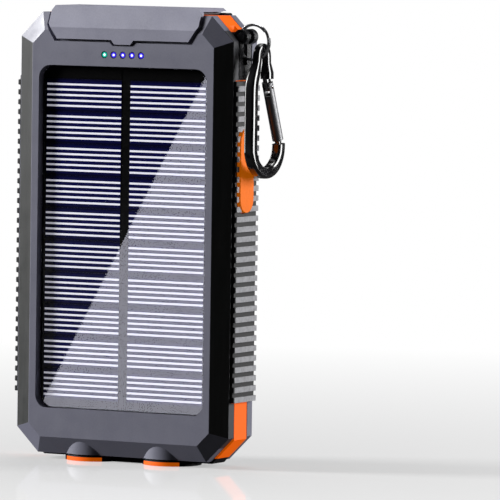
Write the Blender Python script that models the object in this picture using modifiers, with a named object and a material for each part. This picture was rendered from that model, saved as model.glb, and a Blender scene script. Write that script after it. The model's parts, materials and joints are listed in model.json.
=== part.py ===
"""Rugged solar power bank: two shells on an orange frame, solar panel, torches, compass and carabiner.

+Z runs along the case from the torch end to the port end, +X is the side with the power button
and the carabiner, and the solar panel faces -Y.  The case stands on its torch end at z = 0.
"""
import math

import bmesh
import bpy
from mathutils import Matrix, Vector

MM = 0.001
GAP = 0.3 * MM                      # clearance between pieces that touch

# Case outline: an octagon seen from the front, with sloped borders on the front and the back.
CASE_HALF_WIDTH = 38.3 * MM
CASE_BOTTOM = 2.0 * MM
CASE_TOP = 142.0 * MM
FACE_Y = 10.3 * MM                  # the flat front is at -FACE_Y and the flat back at +FACE_Y
RIM_Y = 7.7 * MM                    # where the sloped borders start
SLOPE_SIDE = 5.7 * MM
SLOPE_TOP = 5.7 * MM
SLOPE_BOTTOM = 5.2 * MM
RIM_CORNER = 7.8 * MM
FACE_CORNER = 4.2 * MM
WALL = 2.2 * MM
SKIN_Y = 8.1 * MM                   # inner side of the flat walls
FRAME_FRONT = -3.95 * MM            # the orange frame's front and rear edges
FRAME_REAR = 4.15 * MM

# Solar panel in the front shell.
RECESS_HALF_WIDTH = 30.3 * MM
RECESS_BOTTOM = 16.4 * MM
RECESS_TOP = 125.3 * MM
RECESS_RADIUS = 4.0 * MM
LEDGE_FRONT = -6.15 * MM
LEDGE_REAR = -5.0 * MM
LEDGE_WIDTH = 3.3 * MM
GLASS_Y = (-8.35 * MM, -7.95 * MM)
PANEL_Y = (-7.65 * MM, -6.45 * MM)
CELL_ROWS = 10
CELL_PITCH = 10.2 * MM
CELL_FIRST_Z = 19.1 * MM
CELL_COLUMN_GAP = (-1.7 * MM, 1.5 * MM)

# Ports, the rubber-lipped cover over them and its hinge at the back edge.
USB_X = 17.5 * MM
USB_OPENING = (13.8 * MM, 6.4 * MM)
USB_SHELL = (13.1 * MM, 5.7 * MM)
USB_Y = -1.15 * MM
MICRO_OPENING = (8.6 * MM, 3.6 * MM)
MICRO_SHELL = (7.8 * MM, 2.9 * MM)
MICRO_Y = 0.25 * MM
PORT_BLOCK_HALF_WIDTH = 26.0 * MM
PORT_BLOCK_Y = (-5.6 * MM, 4.9 * MM)
PORT_BLOCK_BOTTOM = 138.6 * MM
SOCKET_TOP = 141.6 * MM
COVER_HALF_WIDTH = 27.0 * MM
COVER_LIP_HALF_WIDTH = 23.7 * MM
COVER_LIP_BOTTOM = 133.7 * MM
COVER_TOP = 144.2 * MM
HINGE_Y = 8.4 * MM
HINGE_Z = 141.2 * MM
HINGE_PIN_RADIUS = 0.6 * MM
HINGE_BORE_RADIUS = 0.9 * MM
HINGE_BARREL_RADIUS = 1.5 * MM

# Torches in the bottom end.
TORCH_X = 14.0 * MM
BARREL_RADIUS = 9.8 * MM
BARREL_BORE = 8.6 * MM
BEZEL_RADIUS = 9.4 * MM
BEZEL_BORE = 7.4 * MM

# Screws through the rear shell, as (half spacing in X, height).
SCREW_PLACES = ((28.8 * MM, 9.9 * MM), (30.0 * MM, 128.5 * MM))

# Power button on the +X side.
BUTTON_Y = -1.1 * MM
BUTTON_Z = 93.7 * MM
BUTTON_LENGTH = 26.4 * MM
BUTTON_WIDTH = 8.6 * MM

# Side grips.
GRIP_BOTTOM = 21.0 * MM
GRIP_TOP = 121.7 * MM
GRIP_FLOOR = 37.3 * MM
GRIP_BASE = 39.1 * MM
GRIP_RIB = 39.9 * MM
GRIP_RIBS = 32

# Ribbed bands in the back.
BAND_RIBS = 31
BAND_PITCH = 1.56 * MM

# Compass in the back.
COMPASS_Z = 122.3 * MM

# Lanyard bar, split ring and carabiner at the +X top corner.
BAR_X = 38.44 * MM
BAR_Z = 135.62 * MM
BAR_RADIUS = 1.3 * MM
RING_X = 41.1 * MM
RING_Z = 133.9 * MM
RING_RADIUS = 5.5 * MM
RING_WIRE = 0.6 * MM
CLIP_X = 44.2 * MM
CLIP_EYE_Z = 129.4 * MM
CLIP_EYE_RADIUS = 3.05 * MM
CLIP_WIRE = 1.9 * MM
CLIP_EYE_WIRE = 1.3 * MM
GATE_TOP = (3.7 * MM, 121.4 * MM)
GATE_END = (11.3 * MM, 103.2 * MM)
GATE_RADIUS = 1.75 * MM

# finish name: (base colour, roughness, metallic)
FINISHES = {
    "grey_shell": ((0.15, 0.15, 0.17), 0.42, 0.0),
    "grey_cover": ((0.22, 0.22, 0.25), 0.40, 0.0),
    "orange_frame": ((0.87, 0.16, 0.01), 0.38, 0.0),
    "black_rubber": ((0.012, 0.012, 0.014), 0.60, 0.0),
    "black_trim": ((0.010, 0.010, 0.012), 0.35, 0.0),
    "silver_trim": ((0.42, 0.41, 0.46), 0.35, 0.0),
    "solar_cell": ((0.004, 0.004, 0.030), 0.30, 0.0),
    "clear_lens": ((0.75, 0.80, 0.85), 0.05, 0.0),
    "circuit_green": ((0.01, 0.12, 0.04), 0.45, 0.0),
    "component_black": ((0.02, 0.02, 0.02), 0.50, 0.0),
    "steel": ((0.60, 0.60, 0.62), 0.25, 1.0),
    "reflector_chrome": ((0.85, 0.85, 0.86), 0.08, 1.0),
    "led_yellow": ((0.85, 0.75, 0.25), 0.40, 0.0),
    "battery_wrap": ((0.10, 0.16, 0.35), 0.45, 0.0),
    "copper_lead": ((0.55, 0.04, 0.03), 0.45, 0.0),
    "anodised_black": ((0.010, 0.010, 0.012), 0.18, 0.6),
    "anodised_grey": ((0.06, 0.06, 0.06), 0.35, 0.8),
    "compass_card": ((0.02, 0.22, 0.10), 0.50, 0.0),
}


# ---------------------------------------------------------------- scene helpers

def clear_scene():
    for obj in list(bpy.data.objects):
        bpy.data.objects.remove(obj, do_unlink=True)


def new_collection(name):
    collection = bpy.data.collections.new(name)
    bpy.context.scene.collection.children.link(collection)
    return collection


def make_materials():
    materials = {}
    for name, (colour, roughness, metallic) in FINISHES.items():
        material = bpy.data.materials.new(name)
        material.use_nodes = True
        shader = material.node_tree.nodes["Principled BSDF"]
        shader.inputs["Base Color"].default_value = (*colour, 1.0)
        shader.inputs["Roughness"].default_value = roughness
        shader.inputs["Metallic"].default_value = metallic
        materials[name] = material
    return materials


clear_scene()
PARTS = new_collection("solar_power_bank")
CUTTERS = new_collection("cutters")
MATERIALS = make_materials()


def add_object(name, mesh, finish):
    """A part when it has a finish, and otherwise a cutter or a shape to be joined to a part."""
    obj = bpy.data.objects.new(name, mesh)
    if finish is None:
        CUTTERS.objects.link(obj)
        obj.hide_render = True
        obj.display_type = "WIRE"
    else:
        PARTS.objects.link(obj)
        mesh.materials.append(MATERIALS[finish])
    return obj


def smooth_round(mesh):
    mesh.shade_smooth()
    mesh.set_sharp_from_angle(angle=math.radians(35))


# ---------------------------------------------------------------- shape helpers

AXIS_TURNS = {
    "X": Matrix.Rotation(math.radians(90), 4, "Y"),
    "Y": Matrix.Rotation(math.radians(-90), 4, "X"),
    "Z": Matrix.Identity(4),
}

# Local x and y of a flat outline, and its thickness, as world directions.
PLANE_TURNS = {
    "XZ": Matrix(((1, 0, 0, 0), (0, 0, -1, 0), (0, 1, 0, 0), (0, 0, 0, 1))),
    "YZ": Matrix(((0, 0, 1, 0), (1, 0, 0, 0), (0, 1, 0, 0), (0, 0, 0, 1))),
}


def box(name, x, y, z, finish=None):
    """A block between the low and high values of x, y and z."""
    bm = bmesh.new()
    bmesh.ops.create_cube(bm, size=1.0)
    size = Vector((x[1] - x[0], y[1] - y[0], z[1] - z[0]))
    centre = Vector((x[0] + x[1], y[0] + y[1], z[0] + z[1])) / 2
    bmesh.ops.transform(bm, matrix=Matrix.Translation(centre) @ Matrix.Diagonal((*size, 1)), verts=bm.verts)
    mesh = bpy.data.meshes.new(name)
    bm.to_mesh(mesh)
    bm.free()
    return add_object(name, mesh, finish)


def cylinder(name, axis, centre, span, radius, finish=None, sides=28, end_radius=None):
    """A cylinder or cone along a world axis; centre holds its other two coordinates in X, Y, Z order."""
    bm = bmesh.new()
    bmesh.ops.create_cone(
        bm, cap_ends=True, segments=sides, radius1=radius,
        radius2=radius if end_radius is None else end_radius, depth=span[1] - span[0])
    middle = (span[0] + span[1]) / 2
    places = {
        "X": (middle, *centre),
        "Y": (centre[0], middle, centre[1]),
        "Z": (*centre, middle),
    }
    bmesh.ops.transform(bm, matrix=Matrix.Translation(places[axis]) @ AXIS_TURNS[axis], verts=bm.verts)
    mesh = bpy.data.meshes.new(name)
    bm.to_mesh(mesh)
    bm.free()
    smooth_round(mesh)
    return add_object(name, mesh, finish)


def curve_mesh(name, curve, matrix):
    """Turn a curve into a closed mesh with welded caps."""
    guide = bpy.data.objects.new(name, curve)
    bpy.context.scene.collection.objects.link(guide)
    guide.matrix_world = matrix
    bpy.context.view_layer.update()
    mesh = bpy.data.meshes.new_from_object(guide.evaluated_get(bpy.context.evaluated_depsgraph_get()))
    mesh.name = name
    bm = bmesh.new()
    bm.from_mesh(mesh)
    bmesh.ops.remove_doubles(bm, verts=bm.verts, dist=0.000001)
    bmesh.ops.transform(bm, matrix=matrix, verts=bm.verts)
    bmesh.ops.recalc_face_normals(bm, faces=bm.faces)
    bm.to_mesh(mesh)
    bm.free()
    mesh.materials.clear()
    bpy.data.objects.remove(guide, do_unlink=True)
    return mesh


def plate(name, outline, plane, span, finish=None):
    """A flat outline, given in the plane's two axes, with its thickness between the span's ends."""
    curve = bpy.data.curves.new(name, "CURVE")
    curve.dimensions = "2D"
    curve.fill_mode = "BOTH"
    curve.extrude = (span[1] - span[0]) / 2
    spline = curve.splines.new("POLY")
    spline.points.add(len(outline) - 1)
    for point, (u, v) in zip(spline.points, outline):
        point.co = (u, v, 0, 1)
    spline.use_cyclic_u = True
    middle = (span[0] + span[1]) / 2
    shift = Matrix.Translation((0, middle, 0) if plane == "XZ" else (middle, 0, 0))
    return add_object(name, curve_mesh(name, curve, shift @ PLANE_TURNS[plane]), finish)


def tube(name, points, radius, finish=None, scales=None, sides_resolution=2):
    """A round bar along points, with flat ends; scales thin it at single points."""
    curve = bpy.data.curves.new(name, "CURVE")
    curve.dimensions = "3D"
    curve.bevel_depth = radius
    curve.bevel_resolution = sides_resolution
    curve.use_fill_caps = True
    spline = curve.splines.new("POLY")
    spline.points.add(len(points) - 1)
    for index, point in enumerate(points):
        spline.points[index].co = (*point, 1)
        if scales:
            spline.points[index].radius = scales[index]
    mesh = curve_mesh(name, curve, Matrix.Identity(4))
    smooth_round(mesh)
    return add_object(name, mesh, finish)


def loft(name, rings, finish=None):
    """A solid between outlines with the same number of points, closed by the first and the last."""
    bm = bmesh.new()
    rows = [[bm.verts.new(point) for point in ring] for ring in rings]
    for lower, upper in zip(rows, rows[1:]):
        for index in range(len(lower)):
            after = (index + 1) % len(lower)
            bm.faces.new((lower[index], lower[after], upper[after], upper[index]))
    bm.faces.new(rows[0])
    bm.faces.new(rows[-1])
    bmesh.ops.recalc_face_normals(bm, faces=bm.faces)
    mesh = bpy.data.meshes.new(name)
    bm.to_mesh(mesh)
    bm.free()
    return add_object(name, mesh, finish)


def turned(name, profile, axis, centre, finish=None, steps=32):
    """Turn a closed (radius, height) profile about a world axis through centre."""
    mesh = bpy.data.meshes.new(name)
    count = len(profile)
    on_axis = [radius == 0 for radius, _ in profile]
    edges = [(i, (i + 1) % count) for i in range(count) if not (on_axis[i] and on_axis[(i + 1) % count])]
    mesh.from_pydata([(radius, 0, height) for radius, height in profile], edges, [])
    obj = add_object(name, mesh, finish)
    screw = obj.modifiers.new("Turn", "SCREW")
    screw.axis = "Z"
    screw.steps = steps
    screw.render_steps = steps
    screw.use_merge_vertices = True
    screw.merge_threshold = 0.00001
    screw.use_smooth_shade = True
    obj.location = centre
    obj.rotation_euler = AXIS_TURNS[axis].to_euler()
    return obj


def boolean(target, tool, operation="DIFFERENCE"):
    modifier = target.modifiers.new(tool.name, "BOOLEAN")
    modifier.operation = operation
    modifier.object = tool
    return target


def cut(target, *tools):
    for tool in tools:
        boolean(target, tool)


def join(target, *tools):
    for tool in tools:
        boolean(target, tool, "UNION")


def comb(name, pieces):
    """Put separate blocks into one cutter."""
    bm = bmesh.new()
    for piece in pieces:
        bpy.context.view_layer.update()
        mesh = bpy.data.meshes.new_from_object(piece.evaluated_get(bpy.context.evaluated_depsgraph_get()))
        mesh.transform(piece.matrix_world)
        bm.from_mesh(mesh)
        bpy.data.meshes.remove(mesh)
        bpy.data.objects.remove(piece, do_unlink=True)
    mesh = bpy.data.meshes.new(name)
    bm.to_mesh(mesh)
    bm.free()
    return add_object(name, mesh, None)


def hang_on(name, location, *pieces):
    """Parent moving pieces to an empty on their joint's axis."""
    pivot = bpy.data.objects.new(name, None)
    pivot.location = location
    PARTS.objects.link(pivot)
    for piece in pieces:
        piece.parent = pivot
        piece.matrix_parent_inverse = Matrix.Translation(-Vector(location))
    return pivot


# ---------------------------------------------------------------- outlines

def octagon(half_width, bottom, top, corner):
    return [
        (-half_width, bottom + corner), (-half_width + corner, bottom),
        (half_width - corner, bottom), (half_width, bottom + corner),
        (half_width, top - corner), (half_width - corner, top),
        (-half_width + corner, top), (-half_width, top - corner),
    ]


def rim_outline(inset=0.0):
    corner = RIM_CORNER - inset * (2 - math.sqrt(2))
    return octagon(CASE_HALF_WIDTH - inset, CASE_BOTTOM + inset, CASE_TOP - inset, corner)


def face_outline(inset=0.0):
    corner = FACE_CORNER - inset * (2 - math.sqrt(2))
    return octagon(CASE_HALF_WIDTH - SLOPE_SIDE - inset, CASE_BOTTOM + SLOPE_BOTTOM + inset,
                   CASE_TOP - SLOPE_TOP - inset, corner)


def at_y(outline, y):
    return [(x, y, z) for x, z in outline]


def rounded_rectangle(left, right, bottom, top, radius, steps=5):
    corners = (
        (left + radius, bottom + radius, 180), (right - radius, bottom + radius, 270),
        (right - radius, top - radius, 0), (left + radius, top - radius, 90),
    )
    outline = []
    for u, v, start in corners:
        for step in range(steps + 1):
            angle = math.radians(start + 90 * step / steps)
            outline.append((u + radius * math.cos(angle), v + radius * math.sin(angle)))
    return outline


def mirrored(half):
    """Close an outline from its +X half, listed from bottom to top."""
    return half + [(-x, z) for x, z in reversed(half)]


# ---------------------------------------------------------------- case

def torch_holes(target, label, radius, z):
    for sign in (-1, 1):
        cut(target, cylinder(f"{label}_{sign}", "Z", (sign * TORCH_X, 0), z, radius))


def make_shell(name, sign):
    """The front shell (sign -1) or the rear shell (sign +1): a hollow lid with sloped borders."""
    edge = FRAME_FRONT - GAP if sign < 0 else FRAME_REAR + GAP
    shell = loft(name, [
        at_y(rim_outline(), edge),
        at_y(rim_outline(), sign * RIM_Y),
        at_y(face_outline(), sign * FACE_Y),
    ], "grey_shell")
    for side in (-1, 1):
        barrel = cylinder(f"{name}_barrel_{side}", "Z", (side * TORCH_X, 0),
                          (CASE_BOTTOM + 0.1 * MM, 14 * MM), BARREL_RADIUS, sides=40)
        keep = box(f"{name}_barrel_side_{side}", (-40 * MM, 40 * MM),
                   (6 * MM, 12 * MM) if sign > 0 else (-12 * MM, -6 * MM), (0, 20 * MM))
        boolean(barrel, keep, "INTERSECT")
        join(shell, barrel)
    cut(shell, loft(name + "_cavity", [
        at_y(rim_outline(WALL), edge - sign * MM),
        at_y(rim_outline(WALL), sign * 6.6 * MM),
        at_y(face_outline(0.2 * MM), sign * SKIN_Y),
    ]))
    return shell


def add_screw_bosses(shell, sign, y):
    for x, z in SCREW_PLACES:
        for side in (-1, 1):
            boss = cylinder(f"{shell.name}_boss_{side}_{z / MM:.0f}", "Y", (side * x, z), y, 2.4 * MM, sides=20)
            join(shell, boss)
            bore = (-8.9 * MM, y[1] + MM) if sign < 0 else (y[0] - MM, 12 * MM)
            cut(shell, cylinder(f"{shell.name}_bore_{side}_{z / MM:.0f}", "Y", (side * x, z), bore,
                                1.3 * MM, sides=16))


def cover_pocket(name):
    """The space that the port cover's lip sinks into, on the front shell's slope."""
    profile = [(-13 * MM, 131 * MM), (-9.0 * MM, 131 * MM), (-9.0 * MM, 136.8 * MM),
               (-6.6 * MM, 142.1 * MM), (-6.6 * MM, 146 * MM), (-13 * MM, 146 * MM)]
    outline = mirrored([
        (3.7 * MM, 131.8 * MM), (4.8 * MM, 132.9 * MM), (24.8 * MM, 132.9 * MM),
        (28.0 * MM, 137.9 * MM), (28.0 * MM, 147 * MM),
    ])
    pocket = plate(name, profile, "YZ", (-30 * MM, 30 * MM))
    boolean(pocket, plate(name + "_outline", outline, "XZ", (-20 * MM, 0)), "INTERSECT")
    return pocket


def make_front_shell():
    shell = make_shell("front_cover", -1)
    tub = box("panel_tub", (-32.3 * MM, 32.3 * MM), (-9.0 * MM, LEDGE_REAR), (15.0 * MM, 127.3 * MM))
    join(shell, tub)
    torch_holes(shell, "front_torch_hole", BARREL_BORE, (0, 14.6 * MM))
    cut(shell,
        plate("panel_recess", rounded_rectangle(-RECESS_HALF_WIDTH, RECESS_HALF_WIDTH, RECESS_BOTTOM,
                                                RECESS_TOP, RECESS_RADIUS), "XZ", (-12 * MM, LEDGE_FRONT)),
        box("panel_window", (-RECESS_HALF_WIDTH + LEDGE_WIDTH, RECESS_HALF_WIDTH - LEDGE_WIDTH),
            (-8 * MM, -4 * MM), (RECESS_BOTTOM + LEDGE_WIDTH, RECESS_TOP - LEDGE_WIDTH)),
        box("front_port_window", (-PORT_BLOCK_HALF_WIDTH - GAP, PORT_BLOCK_HALF_WIDTH + GAP),
            (PORT_BLOCK_Y[0] - GAP, 0), (PORT_BLOCK_BOTTOM - GAP, 143 * MM)),
        cover_pocket("cover_pocket"))
    for index in range(5):
        cut(shell, cylinder(f"indicator_hole_{index}", "Y", ((index - 2) * 3.3 * MM, 129.0 * MM),
                            (-12 * MM, -6 * MM), 1.15 * MM, sides=16))
    for side in (-1, 1):
        cut(shell, box(f"catch_slot_{side}", (side * 13 * MM - 2 * MM, side * 13 * MM + 2 * MM),
                       (-9.6 * MM, -8.4 * MM), (134.3 * MM, 135.6 * MM)))
    add_screw_bosses(shell, -1, (-8.4 * MM, 3.6 * MM))
    for side in (-1, 1):
        cut(shell, box(f"front_grip_seat_{side}",
                       (GRIP_FLOOR, 45 * MM) if side > 0 else (-45 * MM, -GRIP_FLOOR),
                       (-7.3 * MM, 0), (GRIP_BOTTOM - GAP, GRIP_TOP + GAP)))
    return shell


def rib_band(name, outline, finish):
    """A ribbed plate in the back: bars along Z with grooves between them."""
    band = plate(name, outline, "XZ", (9.6 * MM, 10.6 * MM), finish)
    grooves = []
    for index in range(BAND_RIBS + 1):
        x = (index - BAND_RIBS / 2) * BAND_PITCH
        grooves.append(box(f"{name}_groove_{index}", (x - 0.36 * MM, x + 0.36 * MM), (10.15 * MM, 12 * MM),
                           (0, 120 * MM)))
    cut(band, comb(name + "_comb", grooves))


def band_outline(flip, inset=0.0):
    """A six-cornered band across the back; flip turns it about the middle of the back."""
    middle = 57.0 * MM
    half = [(17.0 * MM - inset * 0.4, 18.5 * MM + inset), (25.0 * MM - inset, 23.8 * MM + inset * 0.4),
            (25.0 * MM - inset, 37.6 * MM - inset * 0.4), (14.0 * MM - inset * 0.4, 41.8 * MM - inset)]
    if flip:
        half = [(x, 2 * middle - z) for x, z in reversed(half)]
    return mirrored(half)


def chevron_outline(flip, inset=0.0):
    """A trapezoid plate beside each band: the lower one, or the upper one near the compass."""
    if flip:
        return mirrored([(13.5 * MM - inset, 98.4 * MM + inset), (18.4 * MM - inset * 1.6, 106.2 * MM - inset)])
    return mirrored([(17.2 * MM - inset * 1.6, 7.9 * MM + inset), (13.2 * MM - inset, 15.9 * MM - inset)])


def compass_trim_outline(inset=0.0):
    outer = [(15.8, 109.4), (20.3, 114.2), (28.0, 134.8)]
    inner = [(26.0, 134.8), (18.4, 115.0), (14.9, 111.4)]
    half = [(x * MM - inset * 0.8, z * MM + inset) for x, z in outer[:2]]
    half.append((outer[2][0] * MM - inset * 1.3, outer[2][1] * MM - inset))
    half.append((inner[0][0] * MM + inset * 0.7, inner[0][1] * MM - inset))
    half += [(x * MM + inset * 0.9, z * MM - inset * 0.8) for x, z in inner[1:]]
    return half + [(-x, z) for x, z in reversed(half)]


def rail_outline(side, inset=0.0):
    left = side * 29.9 * MM - 1.3 * MM
    return rounded_rectangle(left + inset, left + 2.6 * MM - inset, 16.2 * MM + inset, 122.0 * MM - inset,
                             1.2 * MM - inset, 3)


def make_rear_shell():
    shell = make_shell("rear_cover", 1)
    join(shell, cylinder("compass_boss", "Y", (0, COMPASS_Z), (4.8 * MM, 9 * MM), 8.0 * MM, sides=32))
    torch_holes(shell, "rear_torch_hole", BARREL_BORE, (0, 14.6 * MM))
    cut(shell,
        box("rear_port_window", (-PORT_BLOCK_HALF_WIDTH - GAP, PORT_BLOCK_HALF_WIDTH + GAP),
            (0, PORT_BLOCK_Y[1] + GAP), (PORT_BLOCK_BOTTOM - GAP, 143 * MM)),
        box("hinge_notch", (-28.6 * MM, 28.6 * MM), (6.3 * MM, 12 * MM), (139.2 * MM, 143 * MM)),
        cylinder("compass_hole", "Y", (0, COMPASS_Z), (4 * MM, 12 * MM), 6.9 * MM, sides=32),
        plate("trim_groove", compass_trim_outline(), "XZ", (9.5 * MM, 12 * MM)))
    for flip in (False, True):
        cut(shell,
            plate(f"band_seat_{flip}", band_outline(flip), "XZ", (9.3 * MM, 12 * MM)),
            plate(f"chevron_seat_{flip}", chevron_outline(flip), "XZ", (9.5 * MM, 12 * MM)))
    for side in (-1, 1):
        cut(shell,
            plate(f"rail_seat_{side}", rail_outline(side), "XZ", (9.5 * MM, 12 * MM)),
            box(f"rear_grip_seat_{side}", (GRIP_FLOOR, 45 * MM) if side > 0 else (-45 * MM, -GRIP_FLOOR),
                (0, 7.3 * MM), (GRIP_BOTTOM - GAP, GRIP_TOP + GAP)))
    add_screw_bosses(shell, 1, (4.3 * MM, 9.2 * MM))
    for x, z in SCREW_PLACES:
        for side in (-1, 1):
            cut(shell, cylinder(f"screw_head_hole_{side}_{z / MM:.0f}", "Y", (side * x, z),
                                (7.9 * MM, 12 * MM), 2.2 * MM, sides=20))
    cut(shell, box("lanyard_notch", (33.6 * MM, 36.0 * MM), (0, 12 * MM), (130.2 * MM, 134.2 * MM)))
    return shell


def make_mid_frame():
    """The orange ring between the shells, with the port face and the torch bezels."""
    y = (FRAME_FRONT, FRAME_REAR)
    proud = 0.8 * MM
    outline = octagon(CASE_HALF_WIDTH, CASE_BOTTOM - proud, CASE_TOP, RIM_CORNER)
    frame = plate("mid_frame", outline, "XZ", y, "orange_frame")
    cut(frame, plate("frame_hollow", rim_outline(WALL), "XZ", (-20 * MM, 20 * MM)))
    port_block = box("port_block", (-PORT_BLOCK_HALF_WIDTH, PORT_BLOCK_HALF_WIDTH), PORT_BLOCK_Y,
                     (PORT_BLOCK_BOTTOM, CASE_TOP))
    foot = box("foot_pad", (-7 * MM, 7 * MM), (y[0] + GAP, y[1] - GAP), (0, 4.2 * MM))
    join(frame, port_block, foot)
    for side in (-1, 1):
        torch = side * TORCH_X
        join(frame,
             cylinder(f"bezel_flange_{side}", "Z", (torch, 0), (0, CASE_BOTTOM - GAP), BEZEL_RADIUS, sides=40),
             cylinder(f"bezel_spigot_{side}", "Z", (torch, 0), (0.5 * MM, 6 * MM), BARREL_BORE - GAP, sides=40))
        cut(frame, cylinder(f"bezel_bore_{side}", "Z", (torch, 0), (-MM, 8 * MM), BEZEL_BORE, sides=40))
        cut(frame, box(f"usb_opening_{side}",
                       (side * USB_X - USB_OPENING[0] / 2, side * USB_X + USB_OPENING[0] / 2),
                       (USB_Y - USB_OPENING[1] / 2, USB_Y + USB_OPENING[1] / 2), (130 * MM, 150 * MM)))
        cut(frame, box(f"frame_grip_seat_{side}",
                       (GRIP_FLOOR, 45 * MM) if side > 0 else (-45 * MM, -GRIP_FLOOR),
                       (-9 * MM, 9 * MM), (GRIP_BOTTOM - GAP, GRIP_TOP + GAP)))
    cut(frame,
        box("micro_opening", (-MICRO_OPENING[0] / 2, MICRO_OPENING[0] / 2),
            (MICRO_Y - MICRO_OPENING[1] / 2, MICRO_Y + MICRO_OPENING[1] / 2), (130 * MM, 150 * MM)),
        box("lanyard_corner", (32.9 * MM, 41 * MM), (-9 * MM, 9 * MM), (121.9 * MM, 137.3 * MM)),
        box("ring_clearance", (33.5 * MM, 41 * MM), (-1.5 * MM, 1.5 * MM), (136 * MM, 139.4 * MM)),
        cylinder("button_stem_hole", "X", (BUTTON_Y, BUTTON_Z), (34 * MM, 42 * MM), 1.9 * MM, sides=20))
    return frame


# ---------------------------------------------------------------- front

def make_solar_panel():
    edge = GAP
    outline = rounded_rectangle(-RECESS_HALF_WIDTH + edge, RECESS_HALF_WIDTH - edge, RECESS_BOTTOM + edge,
                                RECESS_TOP - edge, RECESS_RADIUS - edge)
    plate("panel_glass", outline, "XZ", GLASS_Y, "clear_lens")
    panel = plate("solar_panel", outline, "XZ", PANEL_Y, "solar_cell")
    front = (-9 * MM, PANEL_Y[0] + 0.15 * MM)
    grooves = [box(f"cell_gap_{row}", (-40 * MM, 40 * MM), front,
                   (CELL_FIRST_Z + row * CELL_PITCH - 0.2 * MM, CELL_FIRST_Z + row * CELL_PITCH + 0.2 * MM))
               for row in range(CELL_ROWS + 1)]
    cut(panel, comb("cell_row_gaps", grooves),
        box("cell_column_gap", (CELL_COLUMN_GAP[0], CELL_COLUMN_GAP[1]), front, (10 * MM, 130 * MM)))


def make_indicators():
    """Five light pipes moulded on one bar, in front of a strip with five LEDs."""
    z = 129.0 * MM
    pipe = box("indicator_light_pipe", (-8.0 * MM, 8.0 * MM), (-1.2 * MM, -0.2 * MM), (z - 1.4 * MM, z + 1.4 * MM),
               "clear_lens")
    strip = box("indicator_led_strip", (-8.0 * MM, 8.0 * MM), (1.0 * MM, 1.7 * MM), (z - 1.2 * MM, z + 1.2 * MM),
                "led_yellow")
    for index in range(5):
        x = (index - 2) * 3.3 * MM
        join(pipe, cylinder(f"pipe_{index}", "Y", (x, z), (-10.2 * MM, -0.6 * MM), 0.85 * MM, sides=14))
        join(strip, box(f"led_{index}", (x - 0.8 * MM, x + 0.8 * MM), (0.2 * MM, 1.3 * MM),
                        (z - 0.5 * MM, z + 0.5 * MM)))


# ---------------------------------------------------------------- ports and cover

def make_sockets():
    for side, label in ((-1, "left"), (1, "right")):
        x = side * USB_X
        half_x = USB_SHELL[0] / 2
        half_y = USB_SHELL[1] / 2
        socket = box(f"usb_socket_{label}", (x - half_x, x + half_x), (USB_Y - half_y, USB_Y + half_y),
                     (127.5 * MM, SOCKET_TOP), "steel")
        skin = 0.5 * MM
        cut(socket, box(f"usb_mouth_{label}", (x - half_x + skin, x + half_x - skin),
                        (USB_Y - half_y + skin, USB_Y + half_y - skin), (129.0 * MM, 150 * MM)))
        join(socket, box(f"usb_tongue_{label}", (x - 5.4 * MM, x + 5.4 * MM),
                         (USB_Y - 0.2 * MM, USB_Y + 1.5 * MM), (128.0 * MM, 134.8 * MM)))
    micro = box("micro_usb_socket", (-MICRO_SHELL[0] / 2, MICRO_SHELL[0] / 2),
                (MICRO_Y - MICRO_SHELL[1] / 2, MICRO_Y + MICRO_SHELL[1] / 2), (135.6 * MM, SOCKET_TOP), "steel")
    cut(micro, box("micro_mouth", (-3.4 * MM, 3.4 * MM), (MICRO_Y - 0.95 * MM, MICRO_Y + 0.95 * MM),
                   (136.6 * MM, 150 * MM)))


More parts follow.
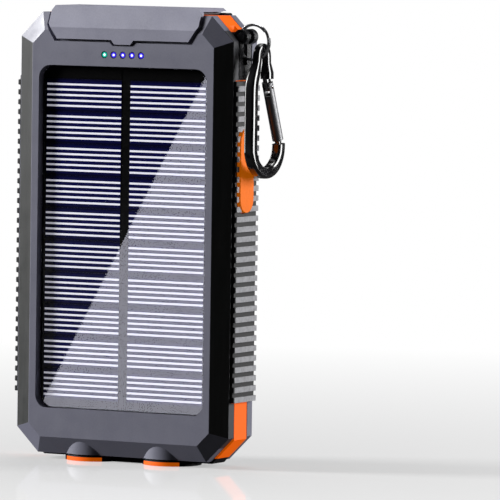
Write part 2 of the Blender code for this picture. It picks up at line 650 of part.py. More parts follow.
def make_port_cover():
    """A plate over the port end with a lip that folds down the front and a hinge barrel at the back."""
    profile = [(-10.8, 132.2), (-10.8, 137.3), (-7.65, 144.2), (7.8, 144.2), (9.5, 142.6), (8.9, 141.4),
               (7.4, 142.3), (6.4, 143.1), (-6.35, 143.1), (-9.3, 136.9), (-9.3, 132.2)]
    cover = plate("port_cover", [(y * MM, z * MM) for y, z in profile], "YZ", (-30 * MM, 30 * MM), "grey_cover")
    outline = mirrored([
        (2.9 * MM, 132.3 * MM), (4.0 * MM, COVER_LIP_BOTTOM), (COVER_LIP_HALF_WIDTH, COVER_LIP_BOTTOM),
        (COVER_HALF_WIDTH, 138.5 * MM), (COVER_HALF_WIDTH, 142.6 * MM), (25.4 * MM, COVER_TOP + 1 * MM),
    ])
    boolean(cover, plate("cover_outline", outline, "XZ", (-20 * MM, 20 * MM)), "INTERSECT")
    join(cover, cylinder("cover_barrel", "X", (HINGE_Y, HINGE_Z), (-24.4 * MM, 24.4 * MM), HINGE_BARREL_RADIUS))
    cut(cover, cylinder("cover_pin_bore", "X", (HINGE_Y, HINGE_Z), (-30 * MM, 30 * MM), HINGE_BORE_RADIUS,
                        sides=20))
    for side in (-1, 1):
        cut(cover, box(f"knuckle_room_{side}",
                       (24.45 * MM, 32 * MM) if side > 0 else (-32 * MM, -24.45 * MM),
                       (6.4 * MM, 11 * MM), (139 * MM, 143.25 * MM)))
    seal = box("port_seal", (-25.6 * MM, 25.6 * MM), (-5.8 * MM, 5.6 * MM), (142.3 * MM, 142.8 * MM),
               "black_rubber")
    for side in (-1, 1):
        join(seal, box(f"plug_{side}", (side * USB_X - 5.6 * MM, side * USB_X + 5.6 * MM),
                       (USB_Y - 1.9 * MM, USB_Y + 1.9 * MM), (139.9 * MM, 142.5 * MM)))
    join(seal, box("plug_micro", (-2.9 * MM, 2.9 * MM), (MICRO_Y - 0.6 * MM, MICRO_Y + 0.6 * MM),
                   (140.3 * MM, 142.5 * MM)))
    cylinder("cover_hinge_pin", "X", (HINGE_Y, HINGE_Z), (-28.0 * MM, 28.0 * MM), HINGE_PIN_RADIUS, "steel",
             sides=16)
    for side, label in ((-1, "left"), (1, "right")):
        x = (24.8 * MM, 28.3 * MM) if side > 0 else (-28.3 * MM, -24.8 * MM)
        knuckle = box(f"hinge_knuckle_{label}", x, (7.2 * MM, 9.6 * MM), (139.8 * MM, HINGE_Z), "black_trim")
        join(knuckle, cylinder(f"knuckle_round_{label}", "X", (HINGE_Y, HINGE_Z), x, HINGE_BARREL_RADIUS))
        cut(knuckle, cylinder(f"knuckle_bore_{label}", "X", (HINGE_Y, HINGE_Z),
                              (x[0] - MM, x[1] + MM), HINGE_BORE_RADIUS, sides=20))
    hang_on("port_cover_hinge", (0, HINGE_Y, HINGE_Z), cover, seal)


# ---------------------------------------------------------------- torches

def make_torch(side, label):
    centre = (side * TORCH_X, 0)
    cylinder(f"torch_lens_{label}", "Z", centre, (0.8 * MM, 2.0 * MM), 7.1 * MM, "clear_lens", sides=36)
    wall = 0.7 * MM
    cup = [(7.1, 2.4), (6.9, 5.0), (6.1, 8.0), (4.6, 10.6), (2.4, 12.0)]
    outer = [(radius * MM, height * MM) for radius, height in cup]
    inner = [(radius - wall, height - 0.3 * MM) for radius, height in outer]
    inner[0] = (outer[0][0] - wall, outer[0][1])
    turned(f"torch_reflector_{label}", list(reversed(outer)) + inner, "Z", (*centre, 0), "reflector_chrome")
    board = cylinder(f"torch_led_board_{label}", "Z", centre, (12.4 * MM, 13.6 * MM), 6.8 * MM,
                     "led_yellow", sides=28)
    join(board, box(f"torch_chip_{label}", (centre[0] - 0.9 * MM, centre[0] + 0.9 * MM),
                    (-0.9 * MM, 0.9 * MM), (11.0 * MM, 12.8 * MM)))


# ---------------------------------------------------------------- back

def make_back():
    for label, flip in (("lower", False), ("upper", True)):
        rib_band(f"rear_grip_band_{label}", band_outline(flip, GAP), "black_rubber")
        chevron = plate(f"rear_chevron_{label}", chevron_outline(flip, GAP), "XZ", (9.8 * MM, 10.5 * MM),
                        "silver_trim")
        slot_z = 101.6 * MM if flip else 11.4 * MM
        cut(chevron, box(f"chevron_slot_{label}", (-10.8 * MM, 10.8 * MM), (10.1 * MM, 12 * MM),
                         (slot_z - 0.5 * MM, slot_z + 0.5 * MM)))
    for side, label in ((-1, "left"), (1, "right")):
        plate(f"rear_rail_{label}", rail_outline(side, GAP), "XZ", (9.8 * MM, 10.6 * MM), "silver_trim")
    plate("compass_trim", compass_trim_outline(GAP), "XZ", (9.8 * MM, 10.7 * MM), "black_trim")


def make_compass():
    centre = (0, 0, COMPASS_Z)
    housing = [(0, 4.8), (6.6, 4.8), (6.6, 10.6), (7.5, 10.6), (7.5, 11.6), (6.7, 11.9), (5.6, 11.9),
               (5.6, 6.0), (0, 6.0)]
    turned("compass_housing", [(r * MM, h * MM) for r, h in reversed(housing)], "Y", centre, "black_trim")
    cylinder("compass_pivot", "Y", (0, COMPASS_Z), (6.3 * MM, 9.2 * MM), 0.9 * MM, "steel", sides=14,
             end_radius=0.25 * MM)
    card = cylinder("compass_card", "Y", (0, COMPASS_Z), (9.5 * MM, 10.2 * MM), 5.0 * MM, "compass_card",
                    sides=32)
    steps = 6
    sphere = []
    for step in range(steps + 1):
        angle = math.radians(90 * step / steps)
        sphere.append((6.5 * MM * math.cos(angle), 12.2 * MM + 2.6 * MM * math.sin(angle)))
    sphere[-1] = (0, sphere[-1][1])
    hollow = [(5.7 * MM * math.cos(math.radians(90 * step / steps)),
               12.2 * MM + 1.9 * MM * math.sin(math.radians(90 * step / steps))) for step in range(steps + 1)]
    hollow[-1] = (0, hollow[-1][1])
    turned("compass_dome", list(reversed(sphere)) + hollow, "Y", centre, "clear_lens")
    hang_on("compass_card_axis", (0, 10 * MM, COMPASS_Z), card)


def make_screws():
    """Four countersunk case screws, each under a flush cap."""
    names = (("left", "bottom"), ("right", "bottom"), ("left", "top"), ("right", "top"))
    places = [(side * x, z) for x, z in SCREW_PLACES for side in (-1, 1)]
    for (side, end), (x, z) in zip(names, places):
        label = f"{end}_{side}"
        screw = cylinder(f"case_screw_{label}", "Y", (x, z), (8.2 * MM, 9.5 * MM), 1.85 * MM, "steel", sides=20)
        join(screw, cylinder(f"shank_{label}", "Y", (x, z), (-4.5 * MM, 8.6 * MM), 1.0 * MM, sides=12))
        cut(screw, box(f"drive_{label}", (x - 1.2 * MM, x + 1.2 * MM), (9.0 * MM, 10 * MM),
                       (z - 0.25 * MM, z + 0.25 * MM)))
        cylinder(f"screw_cap_{label}", "Y", (x, z), (9.8 * MM, 10.35 * MM), 1.9 * MM, "grey_cover", sides=20)


# ---------------------------------------------------------------- sides

def make_grips():
    """Rubber pads on the long sides, ribbed across the thickness of the case."""
    pitch = (GRIP_TOP - GRIP_BOTTOM) / GRIP_RIBS
    for side, label in ((-1, "left"), (1, "right")):
        low = GRIP_FLOOR + GAP

        def across(inner, outer, side=side):
            return (inner, outer) if side > 0 else (-outer, -inner)

        grip = box(f"side_grip_{label}", across(low, GRIP_RIB), (-7.0 * MM, 7.0 * MM), (GRIP_BOTTOM, GRIP_TOP),
                   "black_rubber")
        grooves = []
        for index in range(GRIP_RIBS):
            bottom = GRIP_BOTTOM + (index + 0.55) * pitch
            grooves.append(box(f"groove_{label}_{index}", across(GRIP_BASE, 42 * MM), (-9 * MM, 9 * MM),
                               (bottom, bottom + 0.45 * pitch)))
        cut(grip, comb(f"grip_grooves_{label}", grooves))
        if side > 0:
            hole = oval(BUTTON_LENGTH + 0.8 * MM, BUTTON_WIDTH + 0.8 * MM)
            cut(grip, plate("button_opening", hole, "YZ", (30 * MM, 45 * MM)))


def oval(length, width):
    """A long hole's outline in Y and Z about the power button's centre."""
    radius = width / 2
    return rounded_rectangle(BUTTON_Y - radius, BUTTON_Y + radius, BUTTON_Z - length / 2, BUTTON_Z + length / 2,
                             radius * 0.999, 6)


def make_power_button():
    button = plate("power_button", oval(BUTTON_LENGTH, BUTTON_WIDTH), "YZ", (37.9 * MM, 40.2 * MM),
                   "orange_frame")
    join(button, cylinder("button_stem", "X", (BUTTON_Y, BUTTON_Z), (35.6 * MM, 38.5 * MM), 1.5 * MM, sides=20))
    box("tact_switch", (32.0 * MM, 34.7 * MM), (BUTTON_Y - 3 * MM, BUTTON_Y + 3 * MM),
        (BUTTON_Z - 3 * MM, BUTTON_Z + 3 * MM), "component_black")
    plunger = cylinder("switch_plunger", "X", (BUTTON_Y, BUTTON_Z), (35.0 * MM, 35.3 * MM), 1.4 * MM,
                       "led_yellow", sides=16)
    hang_on("button_slide", (38 * MM, BUTTON_Y, BUTTON_Z), button)
    hang_on("plunger_slide", (35 * MM, BUTTON_Y, BUTTON_Z), plunger)


# ---------------------------------------------------------------- inside

def make_inside():
    box("battery_cell_front", (-32.8 * MM, 28.5 * MM), (-4.6 * MM, 1.4 * MM), (23.0 * MM, 108.0 * MM),
        "battery_wrap")
    box("battery_cell_rear", (-32.8 * MM, 28.5 * MM), (1.8 * MM, 7.6 * MM), (23.0 * MM, 108.0 * MM),
        "battery_wrap")
    box("circuit_board", (-25.8 * MM, 25.8 * MM), (2.0 * MM, 3.2 * MM), (111.0 * MM, 138.0 * MM),
        "circuit_green")
    turned("boost_inductor", [(0, -1.6 * MM), (3.4 * MM, -1.6 * MM), (3.4 * MM, -0.6 * MM),
                              (2.4 * MM, -0.6 * MM), (2.4 * MM, 0.6 * MM), (3.4 * MM, 0.6 * MM),
                              (3.4 * MM, 1.5 * MM), (0, 1.5 * MM)][::-1],
           "Y", (0, 0.1 * MM, 117.0 * MM), "component_black", steps=20)
    box("charge_controller", (-17 * MM, -10 * MM), (0.4 * MM, 1.7 * MM), (114 * MM, 121 * MM), "component_black")


def make_leads():
    """Flexible leads from the circuit board to the cells and to the torches."""
    def lead(name, points, finish):
        tube(name, [tuple(value * MM for value in point) for point in points], 0.5 * MM, finish)

    lead("torch_lead", [(30.6, 5.0, 112.0), (31.4, 5.0, 108.0), (31.4, 5.0, 100.0), (31.4, 5.0, 60.0),
                        (31.4, 4.8, 26.0), (30.0, 4.4, 21.4), (24.0, 2.0, 18.4), (16.0, 0.2, 16.6),
                        (14.2, 0.0, 15.4), (14.0, 0.0, 14.1)], "copper_lead")
    lead("battery_lead", [(-20.0, 5.6, 108.4), (-20.0, 5.6, 112.0), (-20.0, 4.9, 113.6), (-20.0, 3.9, 114.4)],
         "copper_lead")


# ---------------------------------------------------------------- lanyard, ring and carabiner

def clip_point(y, z):
    return (CLIP_X, y, z)


def make_carabiner():
    path = []
    scales = []
    thin = CLIP_EYE_WIRE / CLIP_WIRE

    def add(y, z, scale):
        path.append(clip_point(y, z))
        scales.append(scale)

    add(3.6 * MM, 122.5 * MM, 1.0)
    add(3.5 * MM, 124.5 * MM, 1.0)
    add(3.15 * MM, 127.4 * MM, thin)
    for step in range(9):
        angle = math.pi * step / 8
        add(CLIP_EYE_RADIUS * math.cos(angle), CLIP_EYE_Z + CLIP_EYE_RADIUS * math.sin(angle), thin)
    add(-3.4 * MM, 127.2 * MM, thin)
    add(-5.0 * MM, 124.2 * MM, 0.95)
    add(-6.2 * MM, 121.6 * MM, 1.0)
    add(-6.6 * MM, 118.5 * MM, 1.0)
    add(-6.6 * MM, 110.0 * MM, 1.0)
    bend_y = 2.6 * MM
    bend_z = 101.1 * MM
    for step in range(13):
        angle = math.pi * (1 + step / 12)
        add(bend_y + 9.2 * MM * math.cos(angle), bend_z + 8.1 * MM * math.sin(angle), 1.0)
    add(11.75 * MM, 101.9 * MM, 1.0)
    body = tube("carabiner_body", path, CLIP_WIRE, "anodised_black", scales, 3)

    along = Vector((0, GATE_END[0] - GATE_TOP[0], GATE_END[1] - GATE_TOP[1]))
    length = along.length
    direction = along.normalized()
    angle = math.atan2(-direction.y, -direction.z)
    turn = Matrix.Translation((CLIP_X, GATE_TOP[0], GATE_TOP[1])) @ Matrix.Rotation(-angle, 4, "X")

    def beside_gate(name, x, y, z):
        """A block in the gate's own axes: y across the gate and z back along it from its top end."""
        tool = box(name, x, y, z)
        tool.data.transform(turn)
        return tool

    gate = cylinder("carabiner_gate", "Z", (0, 0), (-length, 0), GATE_RADIUS, "anodised_grey", sides=24)
    gate.data.transform(turn)
    pin_back = 1.4 * MM
    pin = turn @ Vector((0, 0, -pin_back))
    cut(gate,
        beside_gate("gate_fork", (-1.1 * MM, 1.1 * MM), (-4 * MM, 4 * MM), (-4.2 * MM, 2 * MM)),
        beside_gate("gate_nose_slot", (-1.1 * MM, 1.1 * MM), (-1.15 * MM, 4 * MM),
                    (-length - 2 * MM, -length + 2.2 * MM)),
        cylinder("gate_pin_bore", "X", (pin.y, pin.z), (CLIP_X - 4 * MM, CLIP_X + 4 * MM), 0.75 * MM, sides=16))
    spring_bore = cylinder("gate_spring_bore", "Z", (0, 0), (-12 * MM, -3 * MM), 1.15 * MM, sides=16)
    spring_bore.data.transform(turn)
    cut(gate, spring_bore)
    join(body,
         beside_gate("gate_tongue", (-0.8 * MM, 0.8 * MM), (-1.1 * MM, 1.1 * MM), (-2.6 * MM, 2.6 * MM)),
         box("nose_tongue", (CLIP_X - 0.8 * MM, CLIP_X + 0.8 * MM), (10.9 * MM, 12.2 * MM),
             (100.5 * MM, 104.3 * MM)))
    cut(body, cylinder("tongue_bore", "X", (pin.y, pin.z), (CLIP_X - 4 * MM, CLIP_X + 4 * MM), 0.75 * MM,
                       sides=16))
    gate_pin = cylinder("gate_pin", "X", (pin.y, pin.z), (CLIP_X - 1.9 * MM, CLIP_X + 1.9 * MM), 0.45 * MM,
                        "steel", sides=12)
    coil = []
    turns = 5
    for step in range(turns * 10 + 1):
        around = 2 * math.pi * step / 10
        coil.append(turn @ Vector((0.62 * MM * math.cos(around), 0.62 * MM * math.sin(around),
                                   -4.9 * MM - 6.2 * MM * step / (turns * 10))))
    spring = tube("gate_spring", coil, 0.2 * MM, "steel", None, 1)
    hang_on("gate_hinge", (CLIP_X, pin.y, pin.z), gate, spring)
    hang_on("carabiner_swing", (CLIP_X, 0, CLIP_EYE_Z), body, gate_pin)


def make_lanyard():
    """The black corner block, with a slot for the ring and the bar that crosses the slot."""
    width = (FRAME_FRONT + GAP, FRAME_REAR - GAP)
    outline = [(33.3 * MM, 122.1 * MM), (CASE_HALF_WIDTH, 122.1 * MM),
               (CASE_HALF_WIDTH, CASE_TOP - RIM_CORNER), (35.5 * MM, 137.0 * MM), (33.3 * MM, 137.0 * MM)]
    block = plate("lanyard_block", outline, "XZ", width, "black_trim")
    join(block, cylinder("lanyard_lug", "Y", (BAR_X, BAR_Z), (width[0] + 0.1 * MM, width[1] - 0.1 * MM),
                         2.4 * MM, sides=32))
    cut(block,
        box("ring_slot", (33.9 * MM, 48 * MM), (-1.3 * MM, 1.3 * MM), (126.6 * MM, 141 * MM)),
        cylinder("bar_bore", "Y", (BAR_X, BAR_Z), (-9 * MM, 9 * MM), BAR_RADIUS + 0.2 * MM, sides=24))
    cylinder("lanyard_bar", "Y", (BAR_X, BAR_Z), (width[0], width[1]), BAR_RADIUS, "steel", sides=24)
    section = [(RING_RADIUS + RING_WIRE * math.cos(2 * math.pi * k / 10),
                RING_WIRE * math.sin(2 * math.pi * k / 10)) for k in range(10)]
    ring = turned("key_ring", list(reversed(section)), "Y", (RING_X, 0, RING_Z), "steel", steps=40)
    pivot = bpy.data.objects.new("ring_swing", None)
    pivot.location = (BAR_X, 0, BAR_Z)
    PARTS.objects.link(pivot)
    ring.parent = pivot
    ring.location = (RING_X - BAR_X, 0, RING_Z - BAR_Z)


make_front_shell()
make_rear_shell()
make_mid_frame()
make_solar_panel()
make_indicators()
make_sockets()
make_port_cover()
make_torch(-1, "left")
make_torch(1, "right")
make_back()
make_compass()
make_screws()
make_grips()
make_power_button()
make_inside()
make_leads()
make_lanyard()
make_carabiner()
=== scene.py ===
import json
import math

import bmesh
import bpy
from mathutils import Matrix, Vector


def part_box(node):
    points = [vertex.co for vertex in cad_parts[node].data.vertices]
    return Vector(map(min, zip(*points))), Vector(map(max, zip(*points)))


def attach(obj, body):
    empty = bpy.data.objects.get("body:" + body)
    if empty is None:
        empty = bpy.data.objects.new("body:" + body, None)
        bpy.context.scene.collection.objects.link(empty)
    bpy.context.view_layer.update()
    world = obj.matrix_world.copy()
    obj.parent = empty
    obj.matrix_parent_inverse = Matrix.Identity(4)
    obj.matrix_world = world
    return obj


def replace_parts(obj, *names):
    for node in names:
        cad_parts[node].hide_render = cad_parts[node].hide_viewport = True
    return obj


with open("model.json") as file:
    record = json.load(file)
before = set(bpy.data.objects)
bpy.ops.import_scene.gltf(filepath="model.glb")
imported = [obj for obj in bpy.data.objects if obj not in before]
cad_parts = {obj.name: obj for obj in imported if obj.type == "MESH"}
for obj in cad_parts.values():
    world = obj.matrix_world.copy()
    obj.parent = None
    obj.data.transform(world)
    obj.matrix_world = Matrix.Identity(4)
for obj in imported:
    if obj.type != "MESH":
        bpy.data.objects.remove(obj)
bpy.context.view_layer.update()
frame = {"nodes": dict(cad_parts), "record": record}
NODES = frame["nodes"]
MM = 0.001

FACE_EDGE = 32.75 * MM          # half width of the front face, where its long side slopes begin
SLOPE_BACK = -7.75 * MM         # y where the front shell's slopes end and its side walls begin
CELL_FIRST = 20.6 * MM          # the lowest contact finger
CELL_PITCH = 10.2 * MM
CELL_ROWS = 10
FINGER_STEP = 1.70 * MM
LIGHT_Z = 129.0 * MM            # the row of indicator lights
LIGHT_PITCH = 3.3 * MM
COMPASS_Z = 122.3 * MM
TORCH_X = 14.0 * MM
CLIP_X = 44.2 * MM              # the carabiner's plane
CLIP_EYE = (3.05, 129.4)        # in mm: the radius of its eye and the eye's height
GATE_TOP = (3.7, 121.4)         # in mm: y and z
GATE_END = (11.3, 103.2)
BACK_MIDDLE = 57.0 * MM         # the bands and the lines mirror each other about this height
BAND_RIBS = 31
BAND_PITCH = 1.56 * MM
INLAY_X = 25.35 * MM            # the black side lines on the back
VIEW_AZIMUTH = math.radians(28.268)
VIEW_ELEVATION = math.radians(3.450)
VIEW_ROLL = math.radians(-0.797)
AIM = Vector((0, 0, 70 * MM))   # what the lights point at


# ---------------------------------------------------------------- node helpers

class Nodes:
    """A short way to write a material's node tree."""

    def __init__(self, name):
        self.material = bpy.data.materials.new(name)
        self.material.use_nodes = True
        self.tree = self.material.node_tree
        self.shader = self.tree.nodes["Principled BSDF"]
        self.where = self.tree.nodes.new("ShaderNodeTexCoord").outputs["Object"]

    def add(self, kind, **values):
        node = self.tree.nodes.new(kind)
        for key, value in values.items():
            setattr(node, key, value)
        return node

    def put(self, socket, value):
        if isinstance(value, bpy.types.NodeSocket):
            self.tree.links.new(value, socket)
        else:
            socket.default_value = value

    def math(self, operation, *values):
        node = self.add("ShaderNodeMath", operation=operation)
        for socket, value in zip(node.inputs, values):
            self.put(socket, value)
        return node.outputs[0]

    def distance(self, first, second):
        """The length of the line whose two legs are first and second."""
        return self.math("SQRT", self.math("ADD", self.math("MULTIPLY", first, first),
                                           self.math("MULTIPLY", second, second)))

    def axes(self):
        node = self.add("ShaderNodeSeparateXYZ")
        self.put(node.inputs[0], self.where)
        return node.outputs["X"], node.outputs["Y"], node.outputs["Z"]

    def noise(self, size, detail=3.0, roughness=0.55, stretch=None):
        where = self.where
        if stretch is not None:
            mapping = self.add("ShaderNodeMapping")
            self.put(mapping.inputs["Vector"], where)
            mapping.inputs["Scale"].default_value = stretch
            where = mapping.outputs[0]
        node = self.add("ShaderNodeTexNoise")
        self.put(node.inputs["Vector"], where)
        node.inputs["Scale"].default_value = 1 / size
        node.inputs["Detail"].default_value = detail
        node.inputs["Roughness"].default_value = roughness
        return node.outputs["Fac"]

    def ramp(self, value, low, high, out_low=0.0, out_high=1.0, smooth=False):
        node = self.add("ShaderNodeMapRange")
        if smooth:
            node.interpolation_type = "SMOOTHSTEP"
        for socket, number in zip(node.inputs, (value, low, high, out_low, out_high)):
            self.put(socket, number)
        return node.outputs[0]

    def blend(self, factor, first, second):
        node = self.add("ShaderNodeMix", data_type="RGBA")
        self.put(node.inputs["Factor"], factor)
        for socket, colour in zip((node.inputs[6], node.inputs[7]), (first, second)):
            self.put(socket, colour if isinstance(colour, bpy.types.NodeSocket) else (*colour, 1.0))
        return node.outputs[2]

    def bump(self, height, depth, strength=1.0):
        node = self.add("ShaderNodeBump")
        node.inputs["Strength"].default_value = strength
        node.inputs["Distance"].default_value = depth
        self.put(node.inputs["Height"], height)
        return node.outputs[0]

    def set(self, **values):
        for key, value in values.items():
            self.put(self.shader.inputs[key.replace("_", " ")], value)
        return self.material


def tone(colour, factor):
    return tuple(channel * factor for channel in colour)


def moulded(name, colour, rough, grain=0.35 * MM, depth=0.02 * MM, vary=0.10, **extra):
    """Moulded plastic or rubber: fine spark-eroded grain, faint cloudiness and uneven sheen."""
    n = Nodes(name)
    cloud = n.ramp(n.noise(14 * MM, 4.0), 0.3, 0.7)
    speck = n.ramp(n.noise(grain * 1.3, 2.0), 0.35, 0.65)
    base = n.blend(cloud, tone(colour, 1 - vary), tone(colour, 1 + vary))
    tinted = n.blend(n.math("MULTIPLY", speck, 0.35), base, tone(colour, 1 + 2.2 * vary))
    n.set(Base_Color=tinted, Roughness=n.ramp(n.noise(5 * MM, 5.0), 0.25, 0.75, rough - 0.06, rough + 0.07),
          Normal=n.bump(n.noise(grain, 2.0), depth))
    return n.set(**extra)


def metal(name, colour, rough, along=None, grain=0.25 * MM, depth=0.004 * MM, **extra):
    """Plated or brushed metal with fine streaks along one axis and faint smudges."""
    n = Nodes(name)
    streaks = n.noise(grain, 3.0, stretch=along or (1, 1, 1))
    smudge = n.ramp(n.noise(6 * MM, 4.0), 0.35, 0.7)
    n.set(Base_Color=n.blend(smudge, tone(colour, 0.92), tone(colour, 1.04)), Metallic=1.0,
          Roughness=n.ramp(streaks, 0.3, 0.7, max(rough - 0.05, 0.02), rough + 0.08),
          Normal=n.bump(streaks, depth))
    return n.set(**extra)


def shell_grey_painted_shade():
    """Satin grey shell with painted shade: its long side slopes are painted black between the corner facets, and
    its right wall is painted dark.
    """
    n = Nodes("front_shell_grey")
    x, y, z = n.axes()
    out = n.math("SUBTRACT", n.math("ABSOLUTE", x), FACE_EDGE)
    top = n.math("LESS_THAN", z, n.math("ADD", n.math("MULTIPLY", out, 0.37), 132.1 * MM))
    low = n.math("GREATER_THAN", z, n.math("SUBTRACT", 11.4 * MM, n.math("MULTIPLY", out, 0.28)))
    front = n.math("LESS_THAN", y, SLOPE_BACK)
    # painted shade: the long side slopes, between the corner facets, are painted near black
    painted_shade_slopes = n.math("MULTIPLY", n.math("MULTIPLY", n.math("GREATER_THAN", out, 0.0), front),
                    n.math("MULTIPLY", top, low))
    # painted shade: the right wall behind the slopes is painted 85% of the way to near black
    wall = n.math("MULTIPLY", n.math("SUBTRACT", 1.0, front), n.math("GREATER_THAN", x, 35 * MM))
    black = n.math("MAXIMUM", painted_shade_slopes, n.math("MULTIPLY", wall, 0.85))
    cloud = n.ramp(n.noise(14 * MM, 4.0), 0.3, 0.7)
    speck = n.ramp(n.noise(0.45 * MM, 2.0), 0.35, 0.65)
    cloudy = n.blend(cloud, (0.142, 0.143, 0.188), (0.165, 0.166, 0.216))
    grey = n.blend(n.math("MULTIPLY", speck, 0.3), cloudy, (0.193, 0.195, 0.245))
    # the near-black colour of the painted shade, with faint streaks running along the length
    streak = n.ramp(n.noise(1.5 * MM, 3.0, stretch=(1, 1, 0.08)), 0.35, 0.7)
    dark = n.blend(streak, (0.016, 0.017, 0.016), (0.026, 0.027, 0.027))
    return n.set(Base_Color=n.blend(black, grey, dark),
                 Roughness=n.ramp(n.noise(5 * MM, 5.0), 0.25, 0.75, 0.37, 0.50),
                 Specular_IOR_Level=n.ramp(x, -34 * MM, -30 * MM, 0.26, 0.5),
                 Normal=n.bump(n.noise(0.35 * MM, 2.0), 0.02 * MM))


def ribbed_rubber():
    """Side grips: painted black in the grooves as shade, with a patchy painted satin sheen on the rib faces,
    dimmed on the left grip as painted shade.
    """
    n = Nodes("ribbed_rubber")
    x, _, _ = n.axes()
    # painted light: full on the rib faces as painted sheen, none in the grooves as painted shade, and 0.18 on
    # the left grip as painted shade
    painted_lit_share = n.math("MULTIPLY", n.ramp(n.math("ABSOLUTE", x), 39.3 * MM, 39.75 * MM),
                   n.ramp(x, -30 * MM, 30 * MM, 0.18, 1.0))
    scuff = n.ramp(n.noise(1.2 * MM, 4.0), 0.3, 0.75, 0.7, 1.15)
    ribs = n.blend(n.math("MULTIPLY", painted_lit_share, scuff), (0.004, 0.004, 0.005), (0.36, 0.36, 0.38))
    return n.set(Base_Color=ribs, Roughness=n.ramp(painted_lit_share, 0, 1, 0.5, 0.30),
                 Normal=n.bump(n.noise(0.3 * MM, 2.0), 0.012 * MM))


def orange_frame():
    """Orange plastic with a painted glow. The foot is painted black as shade, apart from the rims under the two
    torch barrels.
    """
    n = Nodes("orange_frame")
    x, _, z = n.axes()
    beside = n.math("ABSOLUTE", n.math("SUBTRACT", n.math("ABSOLUTE", x), TORCH_X))
    above_rim = n.math("GREATER_THAN", z, 1.3 * MM)
    # painted shade: the lowest 2.95 mm is painted near black, except the rims below 1.3 mm under the barrels
    foot = n.math("MULTIPLY", n.math("LESS_THAN", z, 2.95 * MM),
                  n.math("MAXIMUM", n.math("GREATER_THAN", beside, 6.4 * MM), above_rim))
    cloud = n.ramp(n.noise(14 * MM, 4.0), 0.3, 0.7)
    orange = n.blend(cloud, (0.72, 0.086, 0.001), (0.80, 0.100, 0.001))
    # painted glow: the orange above the painted shade gives off light of its own
    glow = n.math("MULTIPLY", n.math("SUBTRACT", 1.0, foot), 0.36)
    n.set(Base_Color=n.blend(foot, orange, (0.012, 0.012, 0.014)), Specular_IOR_Level=0.22,
          Roughness=n.ramp(n.noise(5 * MM, 5.0), 0.25, 0.75, 0.44, 0.56), Emission_Strength=glow,
          Normal=n.bump(n.noise(0.35 * MM, 2.0), 0.02 * MM))
    return n.set(Emission_Color=(1.0, 0.16, 0.001, 1.0))


def trim_with_painted_groove_shade(name, colour, low, high):
    """Pale satin trim on the back whose grooves, cut deeper than low, are painted black as shade."""
    n = Nodes(name)
    _, y, _ = n.axes()
    painted_lit_share = n.ramp(y, low, high)
    wear = n.ramp(n.noise(1.5 * MM, 4.0), 0.3, 0.75, 0.85, 1.1)
    # painted shade: below the lit surface the grooves are painted near black
    return n.set(Base_Color=n.blend(n.math("MULTIPLY", painted_lit_share, wear), (0.004, 0.004, 0.005), colour),
                 Roughness=n.ramp(painted_lit_share, 0, 1, 0.6, 0.34), Normal=n.bump(n.noise(0.3 * MM, 2.0), 0.01 * MM))


MATERIALS = {
    "front_shell": shell_grey_painted_shade(),
    "grip_band": trim_with_painted_groove_shade("grip_band", (0.56, 0.56, 0.62), 10.22 * MM, 10.45 * MM),
    "slotted_trim": trim_with_painted_groove_shade("slotted_trim", (0.60, 0.59, 0.66), 10.14 * MM, 10.34 * MM),
    "band_bridge": moulded("band_bridge", (0.085, 0.085, 0.095), 0.45, grain=0.2 * MM, depth=0.008 * MM),
    "ribbed_rubber": ribbed_rubber(),
    "grey_shell": moulded("grey_shell", (0.154, 0.155, 0.200), 0.42),
    "grey_cover": moulded("grey_cover", (0.250, 0.250, 0.315), 0.38),
    "orange_frame": orange_frame(),
    # the orange button's emission is a painted glow
    "orange_button": moulded("orange_button", (0.56, 0.100, 0.001), 0.60, grain=0.8 * MM, depth=0.06 * MM,
                             vary=0.12, Specular_IOR_Level=0.20,
                             Emission_Color=(1.0, 0.21, 0.001, 1.0), Emission_Strength=0.30),
    "black_rubber": moulded("black_rubber", (0.040, 0.040, 0.046), 0.34, grain=0.3 * MM, depth=0.02 * MM),
    "black_trim": moulded("black_trim", (0.010, 0.010, 0.012), 0.25, depth=0.008 * MM),
    "silver_trim": moulded("silver_trim", (0.60, 0.59, 0.66), 0.34),
    "component_black": moulded("component_black", (0.02, 0.02, 0.021), 0.5),
    "circuit_green": moulded("circuit_green", (0.01, 0.12, 0.04), 0.4),
    "battery_wrap": moulded("battery_wrap", (0.10, 0.16, 0.35), 0.35),
    "red_lead": moulded("red_lead", (0.55, 0.04, 0.03), 0.4),
    "steel": metal("steel", (0.62, 0.62, 0.64), 0.16),
    "reflector_chrome": metal("reflector_chrome", (0.88, 0.88, 0.89), 0.06, depth=0.001 * MM),
    "anodised_black": moulded("anodised_black", (0.006, 0.006, 0.007), 0.14, grain=0.2 * MM, depth=0.002 * MM,
                              Coat_Weight=0.5, Coat_Roughness=0.06),
    "anodised_grey": metal("anodised_grey", (0.085, 0.085, 0.088), 0.38, along=(6, 6, 1)),
}


